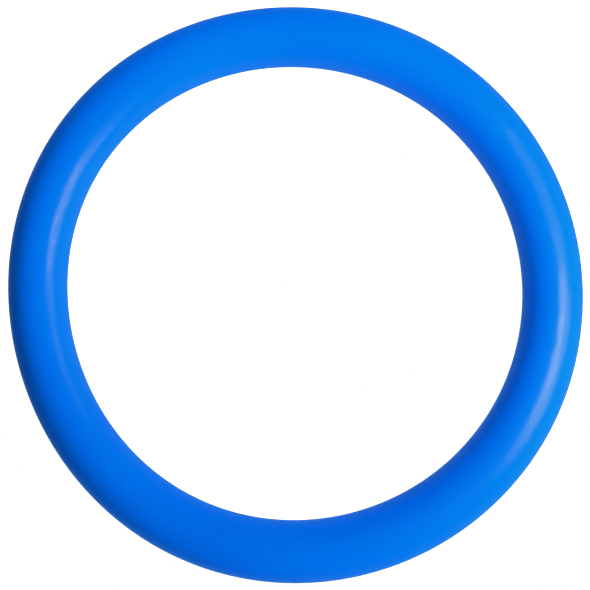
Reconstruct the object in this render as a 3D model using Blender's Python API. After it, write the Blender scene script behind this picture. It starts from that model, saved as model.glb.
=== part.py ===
"""A soft flying ring, lying flat, in metres with +Z up.

The skin is two moulded half shells, an upper and a lower one, which close on each other in a
half-lap joint that runs round the ring's outer and inner sides. Inside is a closed-cell foam rod,
bent round, whose two ends meet on a barbed joining plug.
"""

import math

import bmesh
import bpy
from mathutils import Matrix, Vector

# Driving dimensions
RING_OUTER_DIAMETER = 0.2400
TUBE_DIAMETER = 0.0248
SHELL_WALL = 0.0026
LAP_HEIGHT = 0.0020  # how far the upper shell's tongue reaches below the joint plane
REST_LAND_WIDTH = 0.0030  # the narrow flat that the ring lies on
CORE_CLEARANCE = 0.0004
GAP = 0.0003  # between pieces that touch

# The foam core's joint
JOINT_ANGLE = math.radians(135.0)  # where round the ring the two ends meet
PLUG_LENGTH = 0.0300
PLUG_BARB_RADIUS = 0.0030
PLUG_STEM_RADIUS = 0.0023
PLUG_TIP_RADIUS = 0.0016
PLUG_WAIST_LENGTH = 0.0040  # the plain stretch between the two sets of barbs
BARBS_PER_SIDE = 3
BARB_FACE_SHARE = 0.12  # of a barb's length, the steep face that holds the foam

# Facets
RING_STEPS = 72
SHELL_ARC_STEPS = 14
CORE_SIDES = 20
PLUG_SIDES = 20
SHARP_ANGLE = math.radians(35.0)  # a steeper edge than this stays sharp in the shading

# Finishes: linear colour, roughness
SKIN_BLUE = ((0.0, 0.165, 0.80), 0.45)
FOAM_WHITE = ((0.78, 0.77, 0.73), 0.90)
PLUG_WHITE = ((0.85, 0.85, 0.82), 0.40)

# Worked out from the above
TUBE_RADIUS = TUBE_DIAMETER / 2
RING_RADIUS = RING_OUTER_DIAMETER / 2 - TUBE_RADIUS  # to the middle of the tube
SHELL_BORE_RADIUS = TUBE_RADIUS - SHELL_WALL
MID_WALL_RADIUS = TUBE_RADIUS - SHELL_WALL / 2
CORE_RADIUS = SHELL_BORE_RADIUS - CORE_CLEARANCE
TUBE_HEIGHT = math.sqrt(TUBE_RADIUS**2 - (REST_LAND_WIDTH / 2) ** 2)  # the tube's middle, over the land


def clear_scene():
    for obj in list(bpy.data.objects):
        bpy.data.objects.remove(obj, do_unlink=True)


def arc(radius, start, end, steps):
    """Points (across, up) about the tube's middle, from the angle start to end, both included."""
    angles = [start + (end - start) * i / steps for i in range(steps + 1)]
    return [(radius * math.cos(a), radius * math.sin(a)) for a in angles]


def wall_arc(radius, up, steps):
    """The arc over the top of the tube that starts and ends at the height up."""
    start = math.asin(up / radius)
    return arc(radius, start, math.pi - start, steps)


def flipped(points):
    return [(across, -up) for across, up in points]


def rest_land_arc():
    """The lower shell's outer arc, its lowest points moved up to the flat land."""
    half_land = math.asin(REST_LAND_WIDTH / 2 / TUBE_RADIUS)
    start = math.asin(GAP / 2 / TUBE_RADIUS)
    half = SHELL_ARC_STEPS // 2
    outer_side = arc(TUBE_RADIUS, start, math.pi / 2 - half_land, half)
    inner_side = [(-across, up) for across, up in reversed(outer_side)]
    return flipped(outer_side + inner_side)


def upper_shell_profile():
    """Outer arc, then the step and the tongue at each side, and the bore between the tongues."""
    outer = wall_arc(TUBE_RADIUS, GAP / 2, SHELL_ARC_STEPS)
    tongue = MID_WALL_RADIUS - GAP / 2
    bore = wall_arc(SHELL_BORE_RADIUS, -LAP_HEIGHT, SHELL_ARC_STEPS)
    inner_step = [(-tongue, GAP / 2), (-tongue, -LAP_HEIGHT)]
    outer_step = [(tongue, -LAP_HEIGHT), (tongue, GAP / 2)]
    return outer + inner_step + bore[::-1] + outer_step


def lower_shell_profile():
    """Outer arc with the land, then the rebate that takes the upper shell's tongue, and the bore."""
    outer = rest_land_arc()
    rebate = MID_WALL_RADIUS + GAP / 2
    floor = -(LAP_HEIGHT + GAP)
    bore = flipped(wall_arc(SHELL_BORE_RADIUS, -floor, SHELL_ARC_STEPS))
    inner_step = [(-rebate, -GAP / 2), (-rebate, floor)]
    outer_step = [(rebate, floor), (rebate, -GAP / 2)]
    return outer + inner_step + bore[::-1] + outer_step


def plug_profile():
    """Points (radius, along the axis) from one tip to the other, barbs facing outwards."""
    half = PLUG_LENGTH / 2
    start = PLUG_WAIST_LENGTH / 2
    pitch = (half - start) / BARBS_PER_SIDE
    side = [(PLUG_STEM_RADIUS, start)]
    for i in range(BARBS_PER_SIDE):
        foot = start + i * pitch
        last = i == BARBS_PER_SIDE - 1
        side.append((PLUG_BARB_RADIUS, foot + BARB_FACE_SHARE * pitch))
        side.append((PLUG_TIP_RADIUS if last else PLUG_STEM_RADIUS, foot + pitch))
    return [(radius, -along) for radius, along in reversed(side)] + side


def material(name, colour, roughness):
    made = bpy.data.materials.new(name)
    made.use_nodes = True
    shader = made.node_tree.nodes["Principled BSDF"]
    shader.inputs["Base Color"].default_value = (*colour, 1.0)
    shader.inputs["Roughness"].default_value = roughness
    shader.inputs["Metallic"].default_value = 0.0
    return made


def add_object(name, bm, finish):
    """The closed bmesh as a smooth-shaded object with its sharp edges kept."""
    bmesh.ops.recalc_face_normals(bm, faces=bm.faces)
    mesh = bpy.data.meshes.new(name)
    bm.to_mesh(mesh)
    bm.free()
    mesh.shade_smooth()
    mesh.set_sharp_from_angle(angle=SHARP_ANGLE)
    mesh.materials.append(finish)
    obj = bpy.data.objects.new(name, mesh)
    bpy.context.scene.collection.objects.link(obj)
    return obj


def spun_shell(name, profile, finish):
    """The closed profile turned once round the ring's axis."""
    bm = bmesh.new()
    verts = [bm.verts.new((RING_RADIUS + across, 0, TUBE_HEIGHT + up)) for across, up in profile]
    edges = [bm.edges.new((v, verts[i - 1])) for i, v in enumerate(verts)]
    bmesh.ops.spin(
        bm, geom=verts + edges, cent=(0, 0, 0), axis=(0, 0, 1), angle=2 * math.pi,
        steps=RING_STEPS, use_merge=True,
    )
    return add_object(name, bm, finish)


def foam_core(finish):
    """The foam rod bent round from one side of the joint to the other, with flat cut ends."""
    half_gap = GAP / 2 / RING_RADIUS
    bm = bmesh.new()
    circle = arc(CORE_RADIUS, 0, 2 * math.pi, CORE_SIDES)[:-1]
    verts = [bm.verts.new((RING_RADIUS + across, 0, TUBE_HEIGHT + up)) for across, up in circle]
    end = bm.faces.new(verts)
    turn = Matrix.Rotation(JOINT_ANGLE + half_gap, 3, "Z")
    bmesh.ops.rotate(bm, verts=verts, cent=(0, 0, 0), matrix=turn)
    bmesh.ops.spin(
        bm, geom=[end, *end.edges, *end.verts], cent=(0, 0, 0), axis=(0, 0, 1),
        angle=2 * math.pi - 2 * half_gap, steps=RING_STEPS,
    )
    return add_object("foam_core", bm, finish)


def place_at_joint(obj):
    """Puts an object made along its own Z on the joint, lying along the ring."""
    middle = Vector((RING_RADIUS, 0, TUBE_HEIGHT))
    obj.location = Matrix.Rotation(JOINT_ANGLE, 3, "Z") @ middle
    obj.rotation_euler = (math.pi / 2, 0, JOINT_ANGLE)


def joining_plug(finish):
    bm = bmesh.new()
    rings = []
    for radius, along in plug_profile():
        made = bmesh.ops.create_circle(bm, segments=PLUG_SIDES, radius=radius, cap_ends=False)
        bmesh.ops.translate(bm, verts=made["verts"], vec=(0, 0, along))
        rings.append(made["verts"])
    for below, above in zip(rings, rings[1:]):
        for i in range(PLUG_SIDES):
            bm.faces.new((below[i - 1], below[i], above[i], above[i - 1]))
    bm.faces.new(rings[0])
    bm.faces.new(rings[-1])
    obj = add_object("core_joining_plug", bm, finish)
    place_at_joint(obj)
    return obj


def bore_for_plug(core):
    """One cutter through both ends of the core, a gap larger than the plug all round."""
    bm = bmesh.new()
    bmesh.ops.create_cone(
        bm, cap_ends=True, segments=PLUG_SIDES, radius1=PLUG_BARB_RADIUS + GAP,
        radius2=PLUG_BARB_RADIUS + GAP, depth=PLUG_LENGTH + 2 * GAP,
    )
    cutter = add_object("core_bore_cutter", bm, core.data.materials[0])
    place_at_joint(cutter)
    cutter.hide_render = True
    cutter.display_type = "WIRE"
    bore = core.modifiers.new("plug_bores", "BOOLEAN")
    bore.operation = "DIFFERENCE"
    bore.solver = "EXACT"
    bore.object = cutter


def main():
    clear_scene()
    spun_shell("upper_shell", upper_shell_profile(), material("upper_shell_plastic", *SKIN_BLUE))
    spun_shell("lower_shell", lower_shell_profile(), material("lower_shell_plastic", *SKIN_BLUE))
    core = foam_core(material("core_foam", *FOAM_WHITE))
    bore_for_plug(core)
    joining_plug(material("plug_plastic", *PLUG_WHITE))


main()
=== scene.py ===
"""The looks of the soft flying ring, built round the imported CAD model, in metres with +Z up.

Four pieces stand for the four CAD nodes: the two half shells of the skin, the bent foam core and the
plug that joins its ends. All four follow one centreline, a circle with a slight set such as a soft
ring takes in storage.
"""

import math

import bpy
from mathutils import Matrix, Vector, noise

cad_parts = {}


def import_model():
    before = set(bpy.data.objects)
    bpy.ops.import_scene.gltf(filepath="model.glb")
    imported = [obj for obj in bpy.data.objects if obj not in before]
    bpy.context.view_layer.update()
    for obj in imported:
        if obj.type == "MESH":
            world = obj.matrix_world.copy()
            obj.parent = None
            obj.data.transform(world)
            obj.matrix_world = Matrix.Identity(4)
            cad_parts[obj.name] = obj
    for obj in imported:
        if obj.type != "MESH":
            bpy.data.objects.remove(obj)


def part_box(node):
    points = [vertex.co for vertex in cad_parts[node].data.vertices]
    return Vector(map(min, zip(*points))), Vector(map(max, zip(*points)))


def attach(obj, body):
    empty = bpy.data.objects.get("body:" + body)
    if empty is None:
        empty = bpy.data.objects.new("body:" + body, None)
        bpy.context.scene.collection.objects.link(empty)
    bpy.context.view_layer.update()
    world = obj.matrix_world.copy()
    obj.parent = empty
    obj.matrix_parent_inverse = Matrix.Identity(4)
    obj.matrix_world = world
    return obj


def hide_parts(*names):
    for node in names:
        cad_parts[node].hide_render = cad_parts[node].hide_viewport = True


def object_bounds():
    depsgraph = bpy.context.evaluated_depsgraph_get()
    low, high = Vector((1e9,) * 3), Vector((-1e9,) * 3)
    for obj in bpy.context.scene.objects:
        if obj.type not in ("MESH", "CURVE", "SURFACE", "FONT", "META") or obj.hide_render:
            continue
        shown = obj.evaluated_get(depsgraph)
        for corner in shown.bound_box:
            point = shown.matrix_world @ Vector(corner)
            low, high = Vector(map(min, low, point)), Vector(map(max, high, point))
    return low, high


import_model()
cad_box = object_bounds()

# Sizes of the pieces, as in the CAD model
TUBE_RADIUS = 0.0124
SHELL_WALL = 0.0026
LAP_HEIGHT = 0.0020
LAND_WIDTH = 0.0030
CORE_RADIUS = 0.0094
PLUG_LENGTH = 0.0300
PLUG_BARB_RADIUS = 0.0030
PLUG_STEM_RADIUS = 0.0023
PLUG_TIP_RADIUS = 0.0016
PLUG_WAIST = 0.0040
BARBS_PER_SIDE = 3
BORE_CLEARANCE = 0.0003
JOINT_ANGLE = math.radians(135.0)  # where the foam core's ends meet

# Sizes that only the fine meshes have
SEAM_GAP = 0.00008
SEAM_ROUNDING = 0.00028
LIP_REACH = 3 * SEAM_ROUNDING  # how far from the seam the tube's round gives way to the lip
BARB_ROUNDING = 0.00012
BARB_RISE = 0.12  # the share of a barb's length that its steep face takes
CORE_CUT_ROUNDING = 0.0005
FOAM_LUMP_HEIGHT = 0.00012
FOAM_LUMP_PITCH = 0.004

# The set of the centreline, measured on the photographed outline: lobes round the ring, share of the
# radius, direction of a lobe
SET_LOBES = (
    (2, 0.0100, math.radians(126.0)),
    (3, 0.0035, math.radians(17.0)),
    (4, 0.0020, math.radians(57.0)),
)

# The tube is a little out of round too: its width over its height, and how that swings round the ring.
# Its width is measured on the same outline, and its height is the CAD model's.
TUBE_SPREAD = 1.006
TUBE_SPREAD_SWING = 0.016
TUBE_SPREAD_WAY = math.radians(105.0)

# Fineness
SHELL_STEPS = 360
ARC_STEPS = 56
CORE_STEPS = 240
CORE_SIDES = 48
PLUG_SIDES = 48
ROUNDING_STEPS = 4

# Worked out from the frame
upper_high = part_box("upper_shell")[1]
RING_RADIUS = upper_high.x - TUBE_RADIUS
TUBE_HEIGHT = upper_high.z - TUBE_RADIUS
BORE_RADIUS = TUBE_RADIUS - SHELL_WALL
MID_WALL_RADIUS = TUBE_RADIUS - SHELL_WALL / 2
FLOOR_HEIGHT = cad_box[0][2]


# ---------------------------------------------------------------- outlines and meshes


def centre_radius(angle):
    """The centreline's distance from the ring's axis."""
    lobes = sum(share * math.cos(count * (angle - way)) for count, share, way in SET_LOBES)
    return RING_RADIUS * (1 + lobes)


def tube_spread(angle):
    """The tube's width over its height."""
    return TUBE_SPREAD + TUBE_SPREAD_SWING * math.cos(2 * (angle - TUBE_SPREAD_WAY))


def on_ring(angle, across, up):
    """The point that lies across and up from the centreline at this angle round the ring."""
    reach = centre_radius(angle) + across * tube_spread(angle)
    return Vector((reach * math.cos(angle), reach * math.sin(angle), TUBE_HEIGHT + up))


def arc(radius, start, end, steps):
    """Points (across, up) from the angle start to end, both included."""
    turns = [start + (end - start) * i / steps for i in range(steps + 1)]
    return [Vector((radius * math.cos(t), radius * math.sin(t))) for t in turns]


def rounded(points, radius):
    """An open outline with each corner between its two ends rounded."""
    path = [points[0]]
    for before, corner, after in zip(points, points[1:], points[2:]):
        back = (before - corner).normalized()
        on = (after - corner).normalized()
        reach = radius / math.tan(back.angle(on) / 2)
        for i in range(ROUNDING_STEPS + 1):
            t = i / ROUNDING_STEPS
            path.append(corner + back * reach * (1 - t) ** 2 + on * reach * t**2)
    return path + [points[-1]]


def mirrored(points):
    """The outline on the other side of the tube, run the other way."""
    return [Vector((-p.x, p.y)) for p in reversed(points)]


def loft(name, rings, closed=False):
    """A smooth mesh through rings of points. It closes on itself, or its two ends are capped."""
    count = len(rings[0])
    points = [point for ring in rings for point in ring]
    faces = []
    for i in range(len(rings) if closed else len(rings) - 1):
        here = i * count
        there = (i + 1) % len(rings) * count
        for j in range(count):
            k = (j + 1) % count
            faces.append((here + j, there + j, there + k, here + k))
    if not closed:
        faces.append(tuple(range(count)))
        faces.append(tuple(range(len(points) - 1, len(points) - count - 1, -1)))
    mesh = bpy.data.meshes.new(name)
    mesh.from_pydata(points, [], faces)
    mesh.validate()
    mesh.shade_smooth()
    piece = bpy.data.objects.new(name, mesh)
    bpy.context.scene.collection.objects.link(piece)
    return piece


# ---------------------------------------------------------------- the skin


def upper_section():
    """The upper shell's wall: outer arc, lip, tongue and bore, once round the outline."""
    lift = SEAM_GAP / 2
    start = math.asin(LIP_REACH / TUBE_RADIUS)
    outer = arc(TUBE_RADIUS, math.pi - start, start, ARC_STEPS)
    tongue = MID_WALL_RADIUS - SEAM_GAP / 2
    tip = math.sqrt(BORE_RADIUS**2 - LAP_HEIGHT**2)
    bore_start = math.asin((LIP_REACH - LAP_HEIGHT) / BORE_RADIUS)
    bore = arc(BORE_RADIUS, bore_start, math.pi - bore_start, ARC_STEPS)
    lip = rounded(
        [
            outer[-1],
            Vector((TUBE_RADIUS, lift)),
            Vector((tongue, lift)),
            Vector((tongue, -LAP_HEIGHT)),
            Vector((tip, -LAP_HEIGHT)),
            bore[0],
        ],
        SEAM_ROUNDING,
    )
    return outer[1:-1] + lip + bore[1:-1] + mirrored(lip)


def lower_section():
    """The lower shell's wall: outer arc with the resting land, lip, rebate and bore."""
    drop = SEAM_GAP / 2
    start = math.asin(LIP_REACH / TUBE_RADIUS)
    land = math.pi / 2 - math.asin(LAND_WIDTH / 2 / TUBE_RADIUS)
    side = arc(TUBE_RADIUS, -land, -start, ARC_STEPS // 2)
    outer = mirrored(side) + side
    rebate = MID_WALL_RADIUS + SEAM_GAP / 2
    ledge = LAP_HEIGHT + SEAM_GAP
    tip = math.sqrt(BORE_RADIUS**2 - ledge**2)
    bore_start = math.asin((LIP_REACH + ledge) / BORE_RADIUS)
    bore = arc(BORE_RADIUS, -bore_start, bore_start - math.pi, ARC_STEPS)
    lip = rounded(
        [
            outer[-1],
            Vector((TUBE_RADIUS, -drop)),
            Vector((rebate, -drop)),
            Vector((rebate, -ledge)),
            Vector((tip, -ledge)),
            bore[0],
        ],
        SEAM_ROUNDING,
    )
    return outer[1:-1] + lip + bore[1:-1] + mirrored(lip)


def shell(name, section):
    """One half shell: its section carried once round the ring."""
    turns = [2 * math.pi * i / SHELL_STEPS for i in range(SHELL_STEPS)]
    rings = [[on_ring(turn, p.x, p.y) for p in section] for turn in turns]
    return loft(name, rings, closed=True)


# ---------------------------------------------------------------- the foam core and its plug


def joint_frame(angle):
    """The centreline's point at this angle, and its unit directions outwards, up and along."""
    step = 0.001  # radians either side
    along = (on_ring(angle + step, 0, 0) - on_ring(angle - step, 0, 0)).normalized()
    up = Vector((0, 0, 1))
    return on_ring(angle, 0, 0), along.cross(up), up, along


def circle(centre, outwards, up, radius, sides):
    """Points once round a centre, square to the rod."""
    turns = [2 * math.pi * i / sides for i in range(sides)]
    return [centre + (outwards * math.cos(t) + up * math.sin(t)) * radius for t in turns]


def lumpy(point, centre):
    """A point of the foam's skin, moved in or out a little by its closed cells."""
    lump = noise.noise(point / FOAM_LUMP_PITCH) * FOAM_LUMP_HEIGHT
    return point + (point - centre).normalized() * lump


def core_end(angle, way):
    """Rings from a bore's floor out to the rim of the core's cut end. way is the sign into the foam."""
    centre, outwards, up, along = joint_frame(angle)
    depth = along * way * (PLUG_LENGTH / 2 + BORE_CLEARANCE)
    bore = PLUG_BARB_RADIUS + BORE_CLEARANCE
    edge = CORE_CUT_ROUNDING
    return [
        circle(centre + depth, outwards, up, bore, CORE_SIDES),
        circle(centre + along * way * edge, outwards, up, bore, CORE_SIDES),
        circle(centre, outwards, up, bore + edge, CORE_SIDES),
        circle(centre, outwards, up, CORE_RADIUS - edge, CORE_SIDES),
    ]


def foam_core():
    """The foam rod, bent round from one side of the joint to the other."""
    half_gap = BORE_CLEARANCE / 2 / RING_RADIUS
    cut = CORE_CUT_ROUNDING / RING_RADIUS
    start = JOINT_ANGLE + half_gap
    end = JOINT_ANGLE - half_gap + 2 * math.pi
    rings = core_end(start, 1)
    for i in range(CORE_STEPS + 1):
        turn = start + cut + (end - start - 2 * cut) * i / CORE_STEPS
        centre, outwards, up, _ = joint_frame(turn)
        ring = circle(centre, outwards, up, CORE_RADIUS - FOAM_LUMP_HEIGHT, CORE_SIDES)
        rings.append([lumpy(point, centre) for point in ring])
    rings += reversed(core_end(end, -1))
    return loft("foam_core_rod", rings)


def plug_outline():
    """Points (along, radius) of the barbed plug, from one tip to the other."""
    half = PLUG_LENGTH / 2
    pitch = (half - PLUG_WAIST / 2) / BARBS_PER_SIDE
    side = [Vector((PLUG_WAIST / 2, PLUG_STEM_RADIUS))]
    for i in range(BARBS_PER_SIDE):
        foot = PLUG_WAIST / 2 + i * pitch
        last = i == BARBS_PER_SIDE - 1
        side.append(Vector((foot + BARB_RISE * pitch, PLUG_BARB_RADIUS)))
        side.append(Vector((foot + pitch, PLUG_TIP_RADIUS if last else PLUG_STEM_RADIUS)))
    side.append(Vector((half, PLUG_TIP_RADIUS / 2)))
    return rounded(mirrored(side) + side, BARB_ROUNDING)


def joining_plug():
    """The plug, centred where the core's ends meet."""
    centre, outwards, up, along = joint_frame(JOINT_ANGLE)
    rings = [circle(centre + along * p.x, outwards, up, p.y, PLUG_SIDES) for p in plug_outline()]
    return loft("joining_plug", rings)


# ---------------------------------------------------------------- materials

# The sockets of a Mix node that is set to colours
MIX_FACTOR = 0
MIX_FIRST = 6
MIX_SECOND = 7
MIX_RESULT = 2

SKIN_BLUES = ((0.0, 0.186, 0.86), (0.0, 0.200, 0.91))
SKIN_CLOUD_SIZE = 0.045
SKIN_GRAIN_SIZE = 0.0011
SKIN_ROUGHNESS = (0.18, 0.24)
SKIN_SPECULAR = 0.05  # under the coat, which gives nearly all the gloss
COAT_ROUGHNESS = 0.21
GLINT_SIZE = 0.0012
GLINT_BARE = 0.41  # the noise at which there is no coat
GLINT_FULL = 0.60  # and a full one
DIMPLE_SIZE = 0.0026
DIMPLE_DEPTH = 0.000030
FINE_ROUGHNESS = 0.8  # how strong the finer steps of the glints' and dimples' noise are

FOAM_WHITES = ((0.74, 0.73, 0.68), (0.82, 0.81, 0.77))
FOAM_CLOUD_SIZE = 0.006
FOAM_CELL_SIZE = 0.0007
FOAM_CELL_DEPTH = 0.00012
FOAM_ROUGHNESS = (0.94, 0.82)

PLUG_WHITES = ((0.82, 0.82, 0.78), (0.87, 0.87, 0.84))
PLUG_CLOUD_SIZE = 0.005
PLUG_GRAIN_SIZE = 0.0008
PLUG_ROUGHNESS = (0.34, 0.46)
PLUG_MARK_SIZE = 0.0003
PLUG_MARK_DEPTH = 0.000008


def new_material(name):
    made = bpy.data.materials.new(name)
    made.use_nodes = True
    return made, made.node_tree, made.node_tree.nodes["Principled BSDF"]


def add(tree, kind, **inputs):
    """A new shader node, its inputs set by name. An output socket given as a value is linked."""
    made = tree.nodes.new(kind)
    for name, value in inputs.items():
        socket = made.inputs[name.replace("_", " ")]
        if isinstance(value, bpy.types.NodeSocket):
            tree.links.new(value, socket)
        else:
            socket.default_value = value
    return made


def place(tree, kind="Object"):
    """Where a point is: Object on a piece, in metres, or Generated in the world, the way looked."""
    return add(tree, "ShaderNodeTexCoord").outputs[kind]


def grain(tree, size, detail=2.0, roughness=0.5):
    """Noise from 0 to 1 whose features are about this size in metres."""
    made = add(
        tree, "ShaderNodeTexNoise", Vector=place(tree), Scale=1 / size, Detail=detail, Roughness=roughness
    )
    return made.outputs["Fac"]


def spread(tree, value, low, high, least=0.3, most=0.7):
    """Noise, which stays near its middle, stretched from least and most to run from low to high."""
    made = add(
        tree, "ShaderNodeMapRange", Value=value, From_Min=least, From_Max=most, To_Min=low, To_Max=high
    )
    return made.outputs["Result"]


def mix_colours(tree, factor, first, second):
    """The first colour where factor is 0, the second where it is 1."""
    made = tree.nodes.new("ShaderNodeMix")
    made.data_type = "RGBA"
    tree.links.new(factor, made.inputs[MIX_FACTOR])
    made.inputs[MIX_FIRST].default_value = (*first, 1)
    made.inputs[MIX_SECOND].default_value = (*second, 1)
    return made.outputs[MIX_RESULT]


def bump(tree, height, depth):
    """The surface raised by height, from 0 to 1, times the depth in metres."""
    return add(tree, "ShaderNodeBump", Height=height, Distance=depth, Strength=1.0).outputs["Normal"]


def skin_plastic():
    """Satin blue soft plastic: a thin gloss broken up by the moulded grain, over a slightly uneven blue."""
    made, tree, shader = new_material("satin_skin")
    cloud = spread(tree, grain(tree, SKIN_CLOUD_SIZE, detail=1.0), 0, 1)
    satin = spread(tree, grain(tree, SKIN_GRAIN_SIZE), *SKIN_ROUGHNESS)
    glint_noise = grain(tree, GLINT_SIZE, detail=2, roughness=FINE_ROUGHNESS)
    glints = spread(tree, glint_noise, 0.0, 1.0, GLINT_BARE, GLINT_FULL)
    dimples = bump(tree, grain(tree, DIMPLE_SIZE, detail=3, roughness=FINE_ROUGHNESS), DIMPLE_DEPTH)
    tree.links.new(mix_colours(tree, cloud, *SKIN_BLUES), shader.inputs["Base Color"])
    tree.links.new(satin, shader.inputs["Roughness"])
    tree.links.new(glints, shader.inputs["Coat Weight"])
    tree.links.new(dimples, shader.inputs["Normal"])
    tree.links.new(dimples, shader.inputs["Coat Normal"])
    shader.inputs["Specular IOR Level"].default_value = SKIN_SPECULAR
    shader.inputs["Coat Roughness"].default_value = COAT_ROUGHNESS
    return made


def foam():
    """Off-white closed-cell foam: small round cells and a dull skin."""
    made, tree, shader = new_material("closed_cell_foam")
    cloud = spread(tree, grain(tree, FOAM_CLOUD_SIZE), 0, 1)
    cells = add(tree, "ShaderNodeTexVoronoi", Vector=place(tree), Scale=1 / FOAM_CELL_SIZE)
    cell = cells.outputs["Distance"]
    tree.links.new(mix_colours(tree, cloud, *FOAM_WHITES), shader.inputs["Base Color"])
    tree.links.new(spread(tree, cell, *FOAM_ROUGHNESS), shader.inputs["Roughness"])
    tree.links.new(bump(tree, cell, FOAM_CELL_DEPTH), shader.inputs["Normal"])
    return made


def plug_plastic():
    """Milky moulded plastic with a faint grain."""
    made, tree, shader = new_material("milky_plug")
    cloud = spread(tree, grain(tree, PLUG_CLOUD_SIZE), 0, 1)
    satin = spread(tree, grain(tree, PLUG_GRAIN_SIZE), *PLUG_ROUGHNESS)
    marks = bump(tree, grain(tree, PLUG_MARK_SIZE), PLUG_MARK_DEPTH)
    tree.links.new(mix_colours(tree, cloud, *PLUG_WHITES), shader.inputs["Base Color"])
    tree.links.new(satin, shader.inputs["Roughness"])
    tree.links.new(marks, shader.inputs["Normal"])
    return made


# ---------------------------------------------------------------- the object


def build_ring():
    """All four pieces, each in place of its CAD node."""
    skin = skin_plastic()
    upper = shell("upper_skin", upper_section())
    lower = shell("lower_skin", lower_section())
    core = foam_core()
    pieces = (
        (upper, "upper_shell", "skin_plastic", skin),
        (lower, "lower_shell", "skin_plastic", skin),
        (core, "foam_core", "core_foam", foam()),
        (joining_plug(), "core_joining_plug", "plug_plastic", plug_plastic()),
    )
    for piece, node, slot, material in pieces:
        piece.data.materials.append(material)
        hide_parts(node)
        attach(piece, "root")


# ---------------------------------------------------------------- floor, light and camera

CAMERA_TILT = math.radians(8.0)  # off straight above
CAMERA_WAY = math.radians(292.0)  # the side of the ring that it leans towards
CAMERA_DISTANCE = 5 * RING_RADIUS
CAMERA_LENS = 78.9
SENSOR_WIDTH = 36.0
# A little off the ring's middle, as the ring sits in the photographed frame
AIM = Vector((0.00125, -0.00322, TUBE_HEIGHT))

# Name, place, width, height, turn about its own axis, watts: these give the skin its sheen. Both lists
# were fitted to the light and shade on the photographed ring, then rounded.
GLOSS_LIGHTS = (
    ("key_softbox_high", (0.27, -0.02, 0.30), 0.15, 0.15, 0.0, 0.34),
    ("key_softbox_low", (0.24, -0.06, 0.17), 0.14, 0.18, math.radians(-15), 0.20),
    ("side_softbox", (0.17, 0.07, 0.15), 0.12, 0.12, math.radians(-60), 0.045),
)
# Name, place, width, watts: these light its colour
FILL_LIGHTS = (
    ("front_fill", (0.60, -1.50, 0.80), 1.0, 17.0),
    ("overhead_fill", (0.0, 0.11, 0.13), 0.4, 0.32),
    ("right_fill", (0.40, 0.0, 0.35), 0.1, 1.7),
)
FLOOR_HALF = 10.0
PAPER_GREY = (0.8, 0.8, 0.8)
PAPER_ROUGHNESS = 0.9
# The glow round the ring, by the height of the way looked: -1 straight down, 0 level, 1 straight up
GLOW_COLOUR = (0.33, 1.0, 1.1)
FLOOR_GLOW = 0.36
FLOOR_GLOW_HEIGHT = -0.8
ROOM_GLOW = 0.01
ROOM_GLOW_HEIGHT = -0.15
# The photographed blue rolls off well before white does. Each pair is the light in, and the light shown.
BLUE_ROLL_OFF = ((0.36, 0.45), (0.60, 0.72), (0.85, 0.84), (1.20, 0.88))
WHITE_TO_CAMERA = (1.0, 1.0, 1.8)  # what the roll-off turns into plain white


def camera():
    """Looks down on the ring, with +Y at the top of the picture."""
    lean = math.sin(CAMERA_TILT)
    away = Vector((lean * math.cos(CAMERA_WAY), lean * math.sin(CAMERA_WAY), math.cos(CAMERA_TILT)))
    data = bpy.data.cameras.new("camera")
    data.lens = CAMERA_LENS
    data.sensor_width = SENSOR_WIDTH
    made = bpy.data.objects.new("camera", data)
    spot = Vector((0, 0, TUBE_HEIGHT)) + away * CAMERA_DISTANCE
    back = (spot - AIM).normalized()
    right = Vector((0, 1, 0)).cross(back).normalized()
    turn = Matrix((right, back.cross(right), back)).transposed()
    made.matrix_world = Matrix.Translation(spot) @ turn.to_4x4()
    bpy.context.scene.collection.objects.link(made)
    bpy.context.scene.camera = made


def softbox(name, spot, width, height, turn, watts):
    """A soft light that faces the middle of the ring."""
    data = bpy.data.lights.new(name, "AREA")
    data.shape = "RECTANGLE"
    data.size = width
    data.size_y = height
    data.energy = watts
    made = bpy.data.objects.new(name, data)
    back = (Vector(spot) - Vector((0, 0, TUBE_HEIGHT))).normalized()
    side = Vector((0, 1, 0)).cross(back).normalized()
    facing = Matrix((side, back.cross(side), back)).transposed().to_4x4()
    made.matrix_world = Matrix.Translation(spot) @ facing @ Matrix.Rotation(turn, 4, "Z")
    # With it on, some of a fill light shows in gloss all the same
    data.cycles.use_multiple_importance_sampling = False
    made.visible_camera = False
    bpy.context.scene.collection.objects.link(made)
    return made


def gloss_light(name, spot, width, height, turn, watts):
    """A softbox that shows only in gloss."""
    made = softbox(name, spot, width, height, turn, watts)
    made.visible_diffuse = False


def fill_light(name, spot, width, watts):
    """A square softbox that shows only in colour."""
    made = softbox(name, spot, width, width, 0, watts)
    made.visible_glossy = False


def hide_from_below(tree, shader):
    """Makes the back of the paper clear, so that a view from below shows the ring's underside."""
    behind = add(tree, "ShaderNodeNewGeometry").outputs["Backfacing"]
    either = add(tree, "ShaderNodeMixShader", Fac=behind)
    tree.links.new(shader.outputs["BSDF"], either.inputs[1])
    tree.links.new(add(tree, "ShaderNodeBsdfTransparent").outputs["BSDF"], either.inputs[2])
    tree.links.new(either.outputs["Shader"], tree.nodes["Material Output"].inputs["Surface"])


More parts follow.
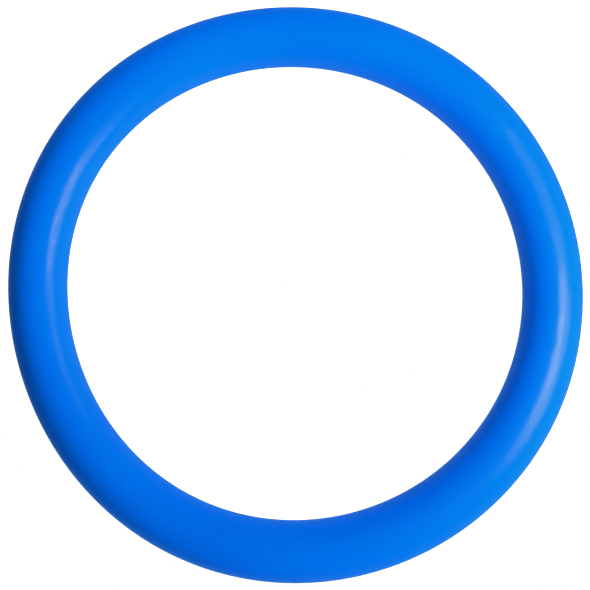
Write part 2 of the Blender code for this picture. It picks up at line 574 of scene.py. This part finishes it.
def floor():
    """White paper, which glows plain white to the camera and is lit as paper for everything else."""
    half = FLOOR_HALF
    mesh = bpy.data.meshes.new("floor")
    corners = [(-half, -half), (half, -half), (half, half), (-half, half)]
    mesh.from_pydata([(x, y, FLOOR_HEIGHT) for x, y in corners], [], [(0, 1, 2, 3)])
    made = bpy.data.objects.new("floor", mesh)
    bpy.context.scene.collection.objects.link(made)
    paper = bpy.data.materials.new("white_paper")
    paper.use_nodes = True
    tree = paper.node_tree
    shader = tree.nodes["Principled BSDF"]
    shader.inputs["Base Color"].default_value = (*PAPER_GREY, 1)
    shader.inputs["Roughness"].default_value = PAPER_ROUGHNESS
    shader.inputs["Emission Color"].default_value = (*WHITE_TO_CAMERA, 1)
    seen = add(tree, "ShaderNodeLightPath").outputs["Is Camera Ray"]
    tree.links.new(seen, shader.inputs["Emission Strength"])
    hide_from_below(tree, shader)
    mesh.materials.append(paper)
    made.visible_glossy = False  # the world below stands in for it


def world():
    """White to the camera, and dim to the ring: a dark room above, and a pale floor below."""
    made = bpy.data.worlds.new("studio")
    made.use_nodes = True
    tree = made.node_tree
    back = tree.nodes["Background"]
    apart = add(tree, "ShaderNodeSeparateXYZ", Vector=place(tree, "Generated"))
    dim = add(
        tree,
        "ShaderNodeMapRange",
        Value=apart.outputs["Z"],
        From_Min=FLOOR_GLOW_HEIGHT,
        From_Max=ROOM_GLOW_HEIGHT,
        To_Min=FLOOR_GLOW,
        To_Max=ROOM_GLOW,
    )
    seen = add(tree, "ShaderNodeLightPath").outputs["Is Camera Ray"]
    strength = add(tree, "ShaderNodeMapRange", Value=seen, To_Min=dim.outputs["Result"], To_Max=1.0)
    tree.links.new(strength.outputs["Result"], back.inputs["Strength"])
    tree.links.new(mix_colours(tree, seen, GLOW_COLOUR, WHITE_TO_CAMERA), back.inputs["Color"])
    bpy.context.scene.world = made


def film_response():
    """Plain Standard colour, but for the blue roll-off."""
    view = bpy.context.scene.view_settings
    view.view_transform = "Standard"
    view.use_curve_mapping = True
    mapping = view.curve_mapping
    mapping.use_clip = False
    mapping.extend = "HORIZONTAL"
    blue = mapping.curves[2]
    blue.points[-1].location = (WHITE_TO_CAMERA[2], 1.0)
    for light_in, light_shown in BLUE_ROLL_OFF:
        blue.points.new(light_in, light_shown)
    mapping.update()


build_ring()
floor()
world()
for light in GLOSS_LIGHTS:
    gloss_light(*light)
for light in FILL_LIGHTS:
    fill_light(*light)
camera()
film_response()
